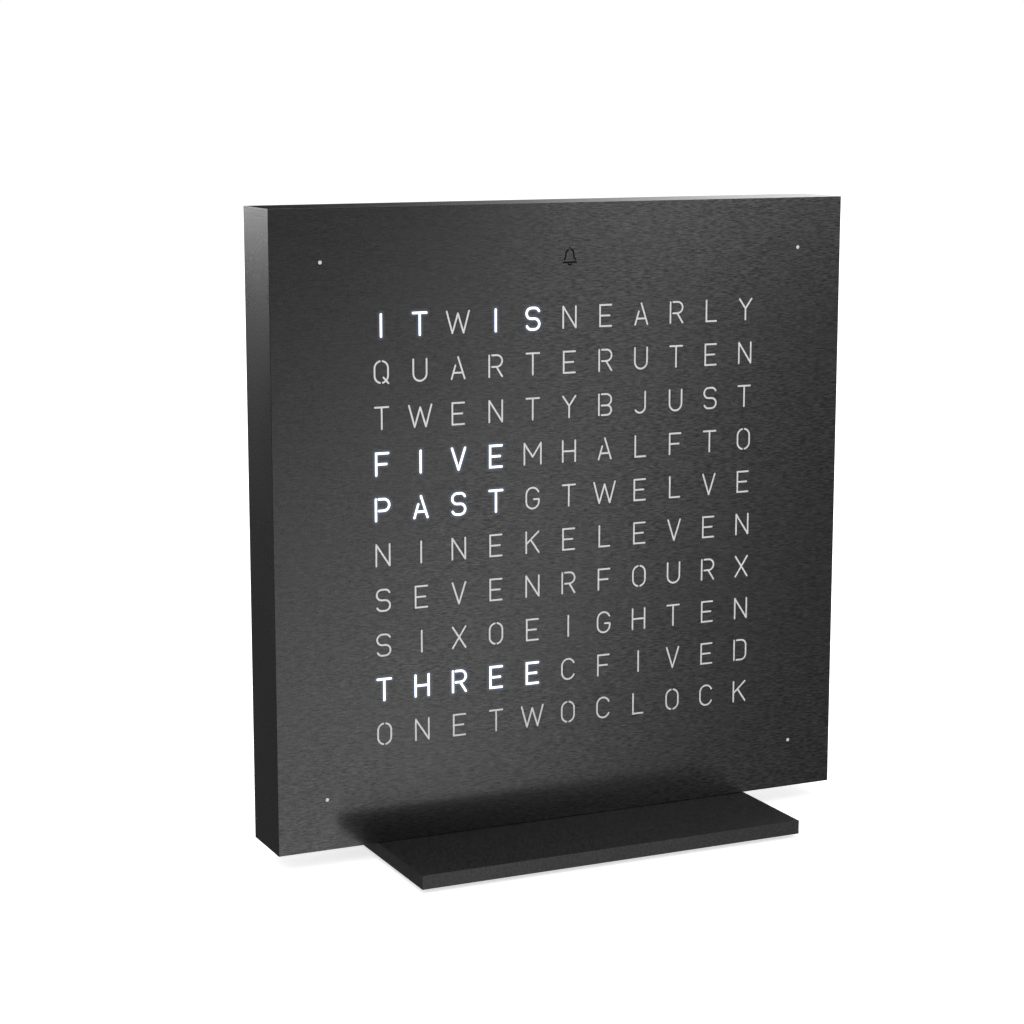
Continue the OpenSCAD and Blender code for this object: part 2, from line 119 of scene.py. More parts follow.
class CoverSettings(bpy.types.PropertyGroup):
    """Sizes of the folded cover"""

    thickness: FloatProperty(
        name="Thickness", description="Thickness of the cover's sheet",
        default=1 * MM, min=0.6 * MM, max=2 * MM, subtype="DISTANCE", precision=5)
    relief: FloatProperty(
        name="Relief", description="How much shorter the lower flange is than the others",
        default=2 * MM, min=0.5 * MM, max=6 * MM, subtype="DISTANCE", precision=5)
    fold: FloatProperty(
        name="Fold", description="Outside radius of the folds",
        default=0.09 * MM, min=0.03 * MM, max=0.6 * MM, subtype="DISTANCE", precision=5)
    fold_segments: IntProperty(
        name="Fold Segments", description="Faces across one fold", default=3, min=1, max=8)


class FinishSettings(bpy.types.PropertyGroup):
    """Colours of the finishes"""

    cover: FloatVectorProperty(
        name="Cover", description="Reflection of the cover's brushed metal",
        default=(0.031, 0.031, 0.032), min=0, max=1, subtype="COLOR")
    flange: FloatVectorProperty(
        name="Flange", description="Colour of the cover's blasted flanges",
        default=(0.056, 0.056, 0.058), min=0, max=1, subtype="COLOR")
    stand: FloatVectorProperty(
        name="Stand", description="Colour of the stand's paint",
        default=(0.0145, 0.0145, 0.015), min=0, max=1, subtype="COLOR")
    housing: FloatVectorProperty(
        name="Housing", description="Colour of the moulded housing",
        default=(0.017, 0.017, 0.018), min=0, max=1, subtype="COLOR")
    button: FloatVectorProperty(
        name="Button", description="Colour of the buttons",
        default=(0.032, 0.032, 0.034), min=0, max=1, subtype="COLOR")
    opal: FloatVectorProperty(
        name="Opal", description="Colour of the unlit inlays and of the opal sheet",
        default=(0.65, 0.65, 0.645), min=0, max=1, subtype="COLOR")
    glow: FloatVectorProperty(
        name="Glow", description="Colour of the light from the lit letters",
        default=(0.70, 0.79, 1.0), min=0, max=1, subtype="COLOR")
    glow_strength: FloatProperty(
        name="Glow Strength", description="Strength of the light from the lit letters",
        default=2.4, min=0.0, max=20.0)


class StageSettings(bpy.types.PropertyGroup):
    """The studio around the clock"""

    floor: FloatVectorProperty(
        name="Floor", description="Colour of the floor and of the backdrop",
        default=(0.86, 0.86, 0.86), min=0, max=1, subtype="COLOR")
    lens: FloatProperty(
        name="Lens", description="Focal length of the camera, in millimetres",
        default=85.0, min=20.0, max=200.0)
    camera_place: FloatVectorProperty(
        name="Camera", description="Where the camera stands",
        default=(-0.2289, -0.4588, 0.16335), subtype="TRANSLATION", precision=4)
    camera_turn: FloatVectorProperty(
        name="Camera Turn", description="How the camera is turned",
        default=(math.radians(80), 0.0, math.radians(-25)), subtype="EULER")


# ---- Mesh helpers ----


def piece_from(bm, name, *materials):
    """Writes a bmesh to a new object in the scene, with these materials."""
    mesh = bpy.data.meshes.new(name)
    bm.to_mesh(mesh)
    bm.free()
    for material in materials:
        mesh.materials.append(material)
    piece = bpy.data.objects.new(name, mesh)
    bpy.context.scene.collection.objects.link(piece)
    return piece


def applied(piece):
    """Applies an object's modifiers to its mesh."""
    bpy.context.view_layer.update()
    graph = bpy.context.evaluated_depsgraph_get()
    mesh = bpy.data.meshes.new_from_object(piece.evaluated_get(graph))
    piece.modifiers.clear()
    piece.data = mesh
    return piece


def boolean(piece, operation, *tools):
    """Joins tools to a solid or cuts them from it, and removes the tools."""
    for tool in tools:
        modifier = piece.modifiers.new("Boolean", "BOOLEAN")
        modifier.operation = operation
        modifier.solver = "MANIFOLD"
        modifier.object = tool
    applied(piece)
    for tool in tools:
        bpy.data.objects.remove(tool)
    return piece


def settled(piece, body, slot, *nodes):
    """Hangs a finished piece on its body and hides the nodes it replaces; the slot argument
    is not used.
    """
    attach(piece, body)
    if nodes:
        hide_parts(*nodes)
    return piece


# ---- Letterforms ----
# A letter is a list of strokes, and a stroke is a list of points on its middle
# line. One unit is half the letter's width across and half its height upwards.

MATRIX = (
    "ITWISNEARLY", "QUARTERUTEN", "TWENTYBJUST", "FIVEMHALFTO", "PASTGTWELVE",
    "NINEKELEVEN", "SEVENRFOURX", "SIXOEIGHTEN", "THREECFIVED", "ONETWOCLOCK",
)
LIT_COLUMNS = {0: (0, 1, 3, 4), 3: (0, 1, 2, 3), 4: (0, 1, 2, 3), 8: (0, 1, 2, 3, 4)}
BRIDGE = 1.6                             # width of a stencil bridge, in strokes


def bow(across, up, radius, start, end, aspect, steps=9):
    """Points on an arc that is round on the face although the units differ."""
    points = []
    for step in range(steps + 1):
        angle = math.radians(start + (end - start) * step / steps)
        points.append((across + radius * math.cos(angle),
                       up + radius * aspect * math.sin(angle)))
    return points


def letter_strokes(letter, aspect, gap):
    """The strokes of a letter; gap is what a stencil bridge takes, in half widths."""
    def arc(across, up, radius, start, end):
        return bow(across, up, radius, start, end, aspect)

    shoulder = 1 - aspect                    # height of the middle of a full bow
    open_angle = math.degrees(gap / 2)
    bowl = 0.82                              # radius of the corners of P, R, B and D
    left_half = (arc(0, shoulder, 1, 90 + open_angle, 180)
                 + arc(0, -shoulder, 1, 180, 270 - open_angle))
    right_half = [(-x, y) for x, y in left_half]
    lobe_top = 1 - 2 * bowl * aspect
    loop = [(gap - 1, 1)] + arc(1 - bowl, 1 - bowl * aspect, bowl, 90, -90) + [
        (gap - 1, lobe_top)]
    low_bowl = (lobe_top + 1) / (2 * aspect)
    stem = [(-1, -1), (-1, 1)]
    bend = 1 / (2 * aspect)                  # radius of the bends of S
    strokes = {
        "A": [[(0, 1), (1, -1)], [(-1, -1), (-0.27 - gap / 3, 0.46 - gap / 2)],
              [(-0.72, -0.44), (0.72, -0.44)]],
        "B": [stem, loop, [(gap - 1, lobe_top)]
              + arc(1 - low_bowl, lobe_top - low_bowl * aspect, low_bowl, 90, -90)
              + [(gap - 1, -1)]],
        "C": [arc(0, shoulder, 1, 22, 180) + arc(0, -shoulder, 1, 180, 338)],
        "D": [stem, [(gap - 1, 1)] + arc(1 - bowl, 1 - bowl * aspect, bowl, 90, 0)
              + arc(1 - bowl, bowl * aspect - 1, bowl, 0, -90) + [(gap - 1, -1)]],
        "E": [[(0.9, 1), (-0.9, 1), (-0.9, -1), (0.9, -1)], [(-0.9, 0), (0.62, 0)]],
        "F": [[(0.9, 1), (-0.9, 1), (-0.9, -1)], [(-0.9, 0), (0.62, 0)]],
        "G": [arc(0, shoulder, 1, 22, 180) + arc(0, -shoulder, 1, 180, 360) + [(1, -0.12)],
              [(1, -0.12), (0.2, -0.12)]],
        "H": [stem, [(1, -1), (1, 1)], [(-1, 0), (1, 0)]],
        "I": [[(0, -1), (0, 1)]],
        "J": [[(0.75, 1)] + arc(-0.1, aspect * 0.85 - 1, 0.85, 0, -150)],
        "K": [stem, [(0.95, 1), (-1, -0.16)], [(-0.3, 0.25), (1, -1)]],
        "L": [[(-0.8, 1), (-0.8, -1), (0.85, -1)]],
        "M": [[(-1.3, -1), (-1.3, 1)], [(-1.3, 1), (0, -0.3)],
              [(0, -0.3), (1.3, 1)], [(1.3, 1), (1.3, -1)]],
        "N": [stem, [(-1, 1), (1, -1)], [(1, -1), (1, 1)]],
        "O": [left_half, right_half],
        "P": [stem, loop],
        "Q": [left_half, right_half, [(0.32, -0.52), (1.05, -1.06)]],
        "R": [stem, loop, [(0.12, lobe_top), (1, -1)]],
        "S": [arc(1 - bend, 0.5, bend, 24, 90) + arc(bend - 1, 0.5, bend, 90, 270)
              + arc(1 - bend, -0.5, bend, 90, -90) + arc(bend - 1, -0.5, bend, 270, 204)],
        "T": [[(-1, 1), (1, 1)], [(0, 1), (0, -1)]],
        "U": [[(-1, 1)] + arc(0, -shoulder, 1, 180, 360) + [(1, 1)]],
        "V": [[(-1, 1), (0, -1)], [(0, -1), (1, 1)]],
        "W": [[(-1.7, 1), (-0.85, -1)], [(-0.85, -1), (0, 0.8)],
              [(0, 0.8), (0.85, -1)], [(0.85, -1), (1.7, 1)]],
        "X": [[(-1, -1), (1, 1)], [(-1, 1), (1, -1)]],
        "Y": [[(-1, 1), (0, 0.08)], [(0, 0.08), (1, 1)], [(0, 0.08), (0, -1)]],
    }
    return strokes[letter]


def bell_strokes():
    """A plain bell in millimetres: two flanks, a rim, a clapper and a knob."""
    flank = ([(-1.32, -0.72), (-1.02, -0.3), (-0.94, 0.3)]
             + bow(0, 0.42, 0.94, 172, 112, 1.12, 7))
    rim = [(-1.5, -1.3), (1.5, -1.3)]
    clapper = bow(0, -1.42, 0.42, 215, 325, 1, 6)
    return [flank, [(-x, y) for x, y in flank], rim, clapper, [(0, 1.72), (0, 1.78)]]


def stroke_solids(strokes, width, near, far):
    """Solids for strokes on a plane of constant Y, with round ends."""
    solids = []
    ends = {end for stroke in strokes for end in (stroke[0], stroke[-1])}
    for across, up in sorted(ends):
        bm = bmesh.new()
        turn = Matrix.Rotation(math.pi / 2, 4, "X")
        place = Matrix.Translation((across, (near + far) / 2, up))
        bmesh.ops.create_cone(bm, cap_ends=True, segments=16, radius1=width / 2,
                              radius2=width / 2, depth=far - near, matrix=place @ turn)
        solids.append(piece_from(bm, "round_end"))
    for stroke in strokes:
        bm = bmesh.new()
        verts = [bm.verts.new((across, near, up)) for across, up in stroke]
        edges = [bm.edges.new(pair) for pair in zip(verts, verts[1:])]
        wall = bmesh.ops.extrude_edge_only(bm, edges=edges)["geom"]
        bmesh.ops.translate(bm, vec=(0, far - near, 0),
                            verts=[v for v in wall if isinstance(v, bmesh.types.BMVert)])
        solid = piece_from(bm, "stroke")
        ribbon = solid.modifiers.new("Ribbon", "SOLIDIFY")
        ribbon.thickness, ribbon.offset, ribbon.use_even_offset = width, 0, True
        solids.append(applied(solid))
    return solids


def glyph_mesh(strokes, width, near, far):
    """One closed mesh for a glyph whose strokes may touch and cross."""
    first, *others = stroke_solids(strokes, width, near, far)
    glyph = boolean(first, "UNION", *others)
    mesh = glyph.data
    bpy.data.objects.remove(glyph)
    return mesh


def place_glyph(bm, mesh, across, up):
    """Adds a copy of a glyph to a bmesh, centred on a point of the face."""
    before = set(bm.verts)
    bm.from_mesh(mesh)
    added = [vert for vert in bm.verts if vert not in before]
    bmesh.ops.translate(bm, verts=added, vec=(across, 0, FACE_MIDDLE_Z + up))


def place_dots(bm, radius, near, far, border):
    """Adds the four round dots in the face's corners."""
    reach = COVER_HI.x - border
    rise = (COVER_HI.z - COVER_LO.z) / 2 - border
    turn = Matrix.Rotation(math.pi / 2, 4, "X")
    for across in (-reach, reach):
        for up in (-rise, rise):
            place = Matrix.Translation((across, (near + far) / 2, FACE_MIDDLE_Z + up))
            bmesh.ops.create_cone(bm, cap_ends=True, segments=24, radius1=radius,
                                  radius2=radius, depth=far - near, matrix=place @ turn)


def is_lit(row, column):
    return column in LIT_COLUMNS.get(row, ())


def is_unlit(row, column):
    return not is_lit(row, column)


def is_any(row, column):
    return True


def glyph_set(lettering, near, far, wanted, rim=0.0):
    """The prism of every letter that is wanted, wider by a rim all round."""
    half_wide = (lettering.width - lettering.stroke) / 2
    half_high = (lettering.height - lettering.stroke) / 2
    gap = BRIDGE * lettering.stroke / half_wide
    glyphs = {}
    used = {letter for row, letters in enumerate(MATRIX)
            for column, letter in enumerate(letters) if wanted(row, column)}
    for letter in sorted(used):
        strokes = [[(across * half_wide, up * half_high) for across, up in stroke]
                   for stroke in letter_strokes(letter, half_wide / half_high, gap)]
        glyphs[letter] = glyph_mesh(strokes, lettering.stroke + 2 * rim, near, far)
    return glyphs


def place_letters(bm, glyphs, lettering, wanted):
    """Adds the letters for which wanted(row, column) is true."""
    for row, letters in enumerate(MATRIX):
        for column, letter in enumerate(letters):
            if wanted(row, column):
                across = (column - (len(letters) - 1) / 2) * lettering.column_pitch
                up = ((len(MATRIX) - 1) / 2 - row) * lettering.row_pitch - lettering.drop
                place_glyph(bm, glyphs[letter], across, up)


def map_brush(bm):
    """Adds a UV map whose U runs across the brushed lines, for their highlight."""
    brush = bm.loops.layers.uv.new("brush")
    for face in bm.faces:
        for loop in face.loops:
            loop[brush].uv = (loop.vert.co.z - loop.vert.co.y, loop.vert.co.x)


def bell_mesh(lettering, near, far):
    """The bell's prism, centred on the origin of the face."""
    strokes = [[(across * MM, up * MM) for across, up in stroke]
               for stroke in bell_strokes()]
    return glyph_mesh(strokes, lettering.bell_stroke, near, far)


def bell_height(lettering):
    """Height of the bell's middle over the face's, a little under the upper dots."""
    under_dots = 0.35 * MM
    return (COVER_HI.z - COVER_LO.z) / 2 - lettering.border - under_dots


# ---- Shader helpers ----


def effect(name, inputs, outputs, build):
    """A shader node group with named sockets, made once and shared by materials."""
    if name in bpy.data.node_groups:
        return bpy.data.node_groups[name]
    tree = bpy.data.node_groups.new(name, "ShaderNodeTree")
    for socket, kind, value in inputs:
        made = tree.interface.new_socket(name=socket, in_out="INPUT", socket_type=kind)
        if value is not None:
            made.default_value = value
    for socket, kind in outputs:
        tree.interface.new_socket(name=socket, in_out="OUTPUT", socket_type=kind)
    entry = tree.nodes.new("NodeGroupInput")
    leave = tree.nodes.new("NodeGroupOutput")
    build(Wiring(tree), entry.outputs, leave.inputs)
    return tree


class Wiring:
    """Short calls that add nodes to a node tree and link them."""

    def __init__(self, tree):
        self.tree = tree

    def set(self, socket, value):
        """Links an output to a socket, or writes a plain value on it."""
        if isinstance(value, bpy.types.NodeSocket):
            self.tree.links.new(value, socket)
        elif value is not None:
            socket.default_value = value

    def node(self, kind, sockets=None, **settings):
        """Adds a node, sets its own settings and then its sockets."""
        made = self.tree.nodes.new("ShaderNode" + kind)
        for key, value in settings.items():
            setattr(made, key, value)
        for key, value in (sockets or {}).items():
            self.set(made.inputs[key], value)
        return made

    def math(self, operation, *values, clamp=False):
        """The result of a Math node."""
        made = self.node("Math", operation=operation, use_clamp=clamp)
        for socket, value in zip(made.inputs, values):
            self.set(socket, value)
        return made.outputs[0]

    def times(self, first, second):
        return self.math("MULTIPLY", first, second)

    def plus(self, first, second):
        return self.math("ADD", first, second)

    def ranged(self, value, low, high, to_low=0.0, to_high=1.0):
        """Maps a value's range to another, clamped."""
        return self.node("MapRange", {
            "Value": value, "From Min": low, "From Max": high,
            "To Min": to_low, "To Max": to_high}).outputs["Result"]

    def stretched(self, vector, scale, turn=(0, 0, 0)):
        """The vector turned and scaled, for patterns that run along one axis."""
        return self.node("Mapping", {
            "Vector": vector, "Scale": scale, "Rotation": turn}).outputs["Vector"]

    def noise(self, vector, scale, detail=2.0, roughness=0.5, distortion=0.0):
        """A noise value around 0.5."""
        return self.node("TexNoise", {
            "Vector": vector, "Scale": scale, "Detail": detail,
            "Roughness": roughness, "Distortion": distortion}).outputs["Fac"]

    def blend(self, fac, first, second):
        """Mixes two colours. A Mix node keeps its sockets for colours last."""
        made = self.node("Mix", data_type="RGBA")
        for key, value in ((0, fac), (6, first), (7, second)):
            self.set(made.inputs[key], value)
        return made.outputs[2]

    def centred(self, value, weight):
        """A value around 0.5 brought to the middle at 0 and weighted."""
        return self.times(self.math("SUBTRACT", value, 0.5), weight)


def rgba(colour, level=1.0):
    """A colour at a level, as a colour socket takes it."""
    return (colour[0] * level, colour[1] * level, colour[2] * level, 1.0)


VECTOR, FLOAT = "NodeSocketVector", "NodeSocketFloat"


def brushed_lines():
    """Fine, slightly wavy dashes that run along X, as a belt leaves them."""
    broad_scale = (110.0, 1500.0, 1500.0)
    sway_scale, grit_scale, patch_scale = 140.0, 5200.0, 30.0
    broad_weight, grit_weight = 0.2, 0.7

    def build(w, given, put):
        lift = w.centred(w.noise(given["Vector"], sway_scale), given["Sway"])
        moved = w.node("VectorMath", {
            0: given["Vector"],
            1: w.node("CombineXYZ", {"Z": lift}).outputs[0]}, operation="ADD").outputs[0]
        fineness = given["Fineness"]
        line_scale = w.node("CombineXYZ", {
            "X": given["Length"], "Y": fineness, "Z": fineness}).outputs[0]
        fine = w.noise(w.stretched(moved, line_scale), 1.0, 1.0)
        broad = w.noise(w.stretched(moved, broad_scale), 1.0)
        grit = w.noise(given["Vector"], grit_scale, 0.0)
        patch = w.noise(given["Vector"], patch_scale)
        calm = w.ranged(patch, 0.38, 0.62, 0.55, 0.85)
        mixed = w.times(w.centred(fine, calm), given["Contrast"])
        mixed = w.plus(mixed, w.centred(broad, broad_weight))
        mixed = w.plus(mixed, w.centred(grit, grit_weight))
        w.set(put["Lines"], w.math("ADD", mixed, 0.5, clamp=True))
        w.set(put["Height"], w.plus(w.times(fine, 0.75), w.times(broad, 0.25)))
        cloudy = w.plus(w.times(broad, 0.6), w.times(patch, 0.4))
        w.set(put["Patches"], w.ranged(cloudy, 0.3, 0.7))
    return effect("Brushed Lines",
                  [("Vector", VECTOR, None), ("Length", FLOAT, 620.0),
                   ("Fineness", FLOAT, 7400.0), ("Sway", FLOAT, 0.0006),
                   ("Contrast", FLOAT, 3.0)],
                  [("Height", FLOAT), ("Lines", FLOAT), ("Patches", FLOAT)], build)


def fine_grain():
    """Grain of a blasted, painted or spark-eroded surface, with a few coarser pits."""
    def build(w, given, put):
        grit = w.noise(given["Vector"], given["Fineness"], 2.0, 0.6)
        cells = w.node("TexVoronoi", {
            "Vector": given["Vector"], "Scale": given["Fineness"]}, feature="SMOOTH_F1")
        pits = cells.outputs["Distance"]
        cloud = w.noise(given["Vector"], 45.0, 3.0, 0.55)
        w.set(put["Height"], w.plus(w.times(grit, 0.6), w.times(pits, 0.4)))
        w.set(put["Speckle"], w.ranged(grit, 0.35, 0.65))
        w.set(put["Clouds"], w.ranged(cloud, 0.3, 0.7))
    return effect("Fine Grain",
                  [("Vector", VECTOR, None), ("Fineness", FLOAT, 3000.0)],
                  [("Height", FLOAT), ("Speckle", FLOAT), ("Clouds", FLOAT)], build)


def handling_marks():
    """Faint smudges that even a clean, dark object has."""
    def build(w, given, put):
        smudge = w.noise(given["Vector"], given["Size"], 4.0, 0.65, 0.4)
        w.set(put["Smudges"], w.ranged(smudge, 0.42, 0.68))
    return effect("Handling Marks", [("Vector", VECTOR, None), ("Size", FLOAT, 22.0)],
                  [("Smudges", FLOAT)], build)


def painted_edge_highlight():
    """A mask that is 1 along sharp outer edges, where the finishes take a painted
    highlight.
    """
    def build(w, given, put):
        bevel_normal = w.node("Bevel", {"Radius": given["Width"]}, samples=4)
        true = w.node("NewGeometry")
        bend = w.node("VectorMath", {0: bevel_normal.outputs["Normal"], 1: true.outputs["Normal"]},
                      operation="DOT_PRODUCT").outputs["Value"]
        w.set(put["Edge"], w.ranged(bend, 0.995, 0.86))
    return effect("Painted Edge Highlight", [("Width", FLOAT, 0.0003)], [("Edge", FLOAT)], build)


class Finish:
    """A material on Object coordinates, with its Principled BSDF at hand."""

    def __init__(self, name, **values):
        self.material = bpy.data.materials.new(name)
        self.material.use_nodes = True
        self.w = Wiring(self.material.node_tree)
        self.shader = self.material.node_tree.nodes["Principled BSDF"]
        self.place = self.w.node("TexCoord").outputs["Object"]
        for key, value in values.items():
            socket = key.replace("_", " ").title().replace("Ior", "IOR")
            self.shader.inputs[socket].default_value = value

    def use(self, tree, **values):
        """Places a shared effect, fed with the object's coordinates."""
        made = self.w.node("Group", node_tree=tree)
        if "Vector" in made.inputs:
            self.w.set(made.inputs["Vector"], self.place)
        for key, value in values.items():
            self.w.set(made.inputs[key.title()], value)
        return made.outputs

    def set(self, socket, value):
        """Links or writes one of the shader's own sockets."""
        self.w.set(self.shader.inputs[socket], value)

    def bump(self, height, depth, strength=1.0):
        """Feeds a height to the shader's normal; depth is the full height in metres."""
        made = self.w.node("Bump", {"Height": height, "Distance": depth,
                                    "Strength": strength})
        self.set("Normal", made.outputs["Normal"])


def colour_between(finish, mask, colour, low, high):
    """Feeds the base colour with a colour whose level varies with a mask."""
    finish.set("Base Color", finish.w.blend(mask, rgba(colour, low), rgba(colour, high)))


# ---- Finishes ----


def painted_light_brush_contrast(f):
    """How much the brushed lines stand out, as painted light: least in the face's upper
    left corner and stronger to the right, as the light shows them.
    """
    slant, in_corner, on_left, on_right = 0.45, 0.45, 2.9, 5.0
    spot = f.w.node("SeparateXYZ", {0: f.place}).outputs
    below_top = f.w.math("SUBTRACT", COVER_HI.z, spot["Z"])
    from_corner = f.w.math("MULTIPLY_ADD", below_top, slant, spot["X"])
    corner = f.w.ranged(from_corner, -35 * MM, 5 * MM, in_corner, 1.0)
    rightwards = f.w.ranged(spot["X"], -10 * MM, 60 * MM, on_left, on_right)
    return f.w.times(corner, rightwards)


def brushed_cover(name, colour, glow=(1, 1, 1), strength=0.0):
    """Black plated sheet, brushed along X, with a faint painted glow on it beside lit
    letters.
    """
    f = Finish(name, metallic=0.72, specular_ior_level=0.33, anisotropic=0.68,
               coat_roughness=0.14, emission_color=rgba(glow), emission_strength=strength)
    # The lines' contrast is painted light, changing across the face as the light shows them
    lines = f.use(brushed_lines(), contrast=painted_light_brush_contrast(f))
    smudges = f.use(handling_marks())["Smudges"]
    colour_between(f, lines["Lines"], colour, 0.5, 1.55)
    f.set("Roughness", f.w.plus(f.w.ranged(lines["Patches"], 0, 1, 0.26, 0.30),
                                f.w.times(smudges, 0.015)))
    f.set("Coat Weight", f.w.ranged(lines["Lines"], 0, 1, 0.24, 0.88))
    along = f.w.node("Tangent", direction_type="UV_MAP", uv_map="brush")
    f.set("Tangent", along.outputs["Tangent"])
    f.bump(lines["Height"], 1.5e-5, 0.8)
    return f.material


def blasted_flange(colour):
    """The same sheet's flanges, blasted to an even grain."""
    f = Finish("blasted flange", metallic=1.0)
    grain = f.use(fine_grain(), fineness=2800.0)
    colour_between(f, grain["Speckle"], colour, 0.25, 1.95)
    f.set("Roughness", f.w.ranged(grain["Clouds"], 0, 1, 0.25, 0.30))
    f.bump(grain["Height"], 2.4e-5, 0.8)
    return f.material


def grained(name, colour, fineness, depth, rough_low, rough_high, low=0.85, high=1.15,
            **values):
    """A painted or moulded surface: even grain, soft clouds and a faint painted highlight
    along its edges.
    """
    f = Finish(name, **values)
    grain = f.use(fine_grain(), fineness=fineness)
    smudges = f.use(handling_marks())["Smudges"]
    edge = f.use(painted_edge_highlight())["Edge"]
    # Painted highlight: the base colour is lightened along sharp outer edges
    highlight_share, highlight_level, smudge_gloss = 0.35, 2.2, 0.04
    shade = f.w.blend(grain["Speckle"], rgba(colour, low), rgba(colour, high))
    shade = f.w.blend(f.w.times(edge, highlight_share), shade, rgba(colour, highlight_level))
    f.set("Base Color", shade)
    rough = f.w.ranged(grain["Clouds"], 0, 1, rough_low, rough_high)
    f.set("Roughness", f.w.math("SUBTRACT", rough,
                                f.w.times(smudges, smudge_gloss)))
    f.bump(grain["Height"], depth)
    return f.material


def polished(name, colour, rough):
    """Plated or turned metal with fine turning lines."""
    f = Finish(name, metallic=1.0)
    lines = f.use(brushed_lines(), length=900.0, fineness=5200.0)
    colour_between(f, lines["Lines"], colour, 0.85, 1.05)
    f.set("Roughness", f.w.ranged(lines["Patches"], 0, 1, rough, rough + 0.05))
    f.bump(lines["Height"], 4e-6, 0.4)
    return f.material


def opal_resin(name, colour):
    """Milky resin, a touch uneven in depth."""
    f = Finish(name, roughness=0.42)
    grain = f.use(fine_grain(), fineness=1500.0)
    colour_between(f, grain["Clouds"], colour, 0.94, 1.02)
    f.bump(grain["Height"], 4e-6)
    return f.material


def lit_resin(name, colour, strength):
    """The same resin with a lamp behind it, which outshines its own colour."""
    f = Finish(name, roughness=0.42, base_color=(0.1, 0.1, 0.11, 1.0),
               emission_strength=strength)
    grain = f.use(fine_grain(), fineness=900.0)
    f.set("Emission Color", f.w.blend(grain["Clouds"], rgba(colour, 0.94), rgba(colour)))
    f.bump(grain["Height"], 4e-6)
    return f.material


def lacquered_board():
    """Dark solder lacquer with tracks that show through it."""
    bare, over_track = (0.006, 0.030, 0.016, 1), (0.022, 0.075, 0.035, 1)
    black, white = (0, 0, 0, 1), (1, 1, 1, 1)
    f = Finish("board lacquer", roughness=0.32, coat_weight=0.4, coat_roughness=0.15)
    tracks = f.w.node("TexBrick", {
        "Vector": f.w.stretched(f.place, (1, 1, 1), (math.pi / 2, 0, 0)),
        "Scale": 260.0, "Mortar Size": 0.045, "Mortar Smooth": 0.2,
        "Color1": black, "Color2": black, "Mortar": white,
        "Brick Width": 1.4, "Row Height": 0.55}).outputs["Fac"]
    wander = f.use(fine_grain(), fineness=600.0)
    mask = f.w.times(tracks, f.w.ranged(wander["Clouds"], 0.45, 0.55))
    f.set("Base Color", f.w.blend(mask, bare, over_track))
    f.bump(mask, 3e-5)
    return f.material


def moulded(name, colour, rough=0.5, fineness=2200.0, depth=1.2e-5, **values):
    """A plainer moulded part inside the housing."""
    return grained(name, colour, fineness, depth, rough - 0.05, rough + 0.05, **values)


FINISH_NAMES = {}                        # slot to material, once they are made


def finishes():
    """Every material slot's finish, made once."""
    if "brushed cover" in bpy.data.materials:
        return {slot: bpy.data.materials[name] for slot, name in FINISH_NAMES.items()}
    chosen = bpy.context.scene.word_clock_finish
    made = {
        "cover_metal": brushed_cover("brushed cover", chosen.cover),
        "cover_flange": blasted_flange(chosen.flange),
        "stand_paint": grained("stand paint", chosen.stand, 2100.0, 4.5e-5, 0.33, 0.40,
                               0.35, 1.65, specular_ior_level=0.54),
        "housing_plastic": grained("housing plastic", chosen.housing, 1900.0, 2.6e-5,
                                   0.48, 0.58),
        "button_plastic": grained("button plastic", chosen.button, 3000.0, 8e-6,
                                  0.34, 0.42),
        "plunger_plastic": moulded("plunger plastic", (0.72, 0.71, 0.67), 0.4),
        "grid_plastic": moulded("grid plastic", (0.74, 0.74, 0.72), 0.5),
        "opal_plastic": opal_resin("opal sheet", chosen.opal),
        "letter_resin": opal_resin("letter resin", chosen.opal),
        "smoked_resin": moulded("smoked resin", (0.004, 0.004, 0.0045), 0.6,
                                specular_ior_level=0.1),
        "lit_letters": lit_resin("lit resin", chosen.glow, chosen.glow_strength),
        # The three halo finishes are painted glow: the cover's metal, emitting less with
        # each step out from a lit letter
        "halo_near": brushed_cover("halo near", chosen.cover, chosen.glow, 0.092),
        "halo_middle": brushed_cover("halo middle", chosen.cover, chosen.glow, 0.040),
        "halo_far": brushed_cover("halo far", chosen.cover, chosen.glow, 0.013),
        "board_lacquer": lacquered_board(),
        "lamp_body": moulded("lamp body", (0.78, 0.76, 0.68), 0.35),
        "chip_epoxy": moulded("chip epoxy", (0.020, 0.020, 0.021), 0.6, 3200.0),
        "tantalum_case": moulded("tantalum case", (0.55, 0.33, 0.05), 0.4),
        "plated_steel": polished("plated steel", (0.56, 0.56, 0.55), 0.2),
        "inlet_plastic": moulded("inlet plastic", (0.013, 0.013, 0.013), 0.38),
        "holder_plastic": moulded("holder plastic", (0.028, 0.028, 0.030), 0.45),
        "screw_black": polished("screw black", (0.14, 0.14, 0.145), 0.34),
        "brass": polished("brass", (0.70, 0.46, 0.16), 0.22),
        "pad_rubber": moulded("pad rubber", (0.016, 0.016, 0.016), 0.75, 1300.0, 3e-5),
        "printed_mark": moulded("printed mark", (0.62, 0.62, 0.61), 0.55, 3000.0, 4e-6),
    }
    FINISH_NAMES.update({slot: material.name for slot, material in made.items()})
    return made


def dress(slot, *names):
    """Gives CAD nodes their slot's finish."""
    for name in names:
        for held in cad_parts[name].material_slots:
            held.material = finishes()[slot]


def soften(name, width, segments=2, angle=50):
    """Rounds a CAD node's sharp edges with live modifiers."""
    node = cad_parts[name]
    weld = node.modifiers.new("Weld", "WELD")
    weld.merge_threshold = 2e-6
    bevel = node.modifiers.new("Bevel", "BEVEL")
    bevel.width, bevel.segments = width, segments
    bevel.limit_method, bevel.angle_limit = "ANGLE", math.radians(angle)


# ---- Operators ----


def sheet_and_letters(context):
    return context.scene.word_clock_cover, context.scene.word_clock_lettering


class BuildStep(bpy.types.Operator):
    bl_options = {"REGISTER", "UNDO"}


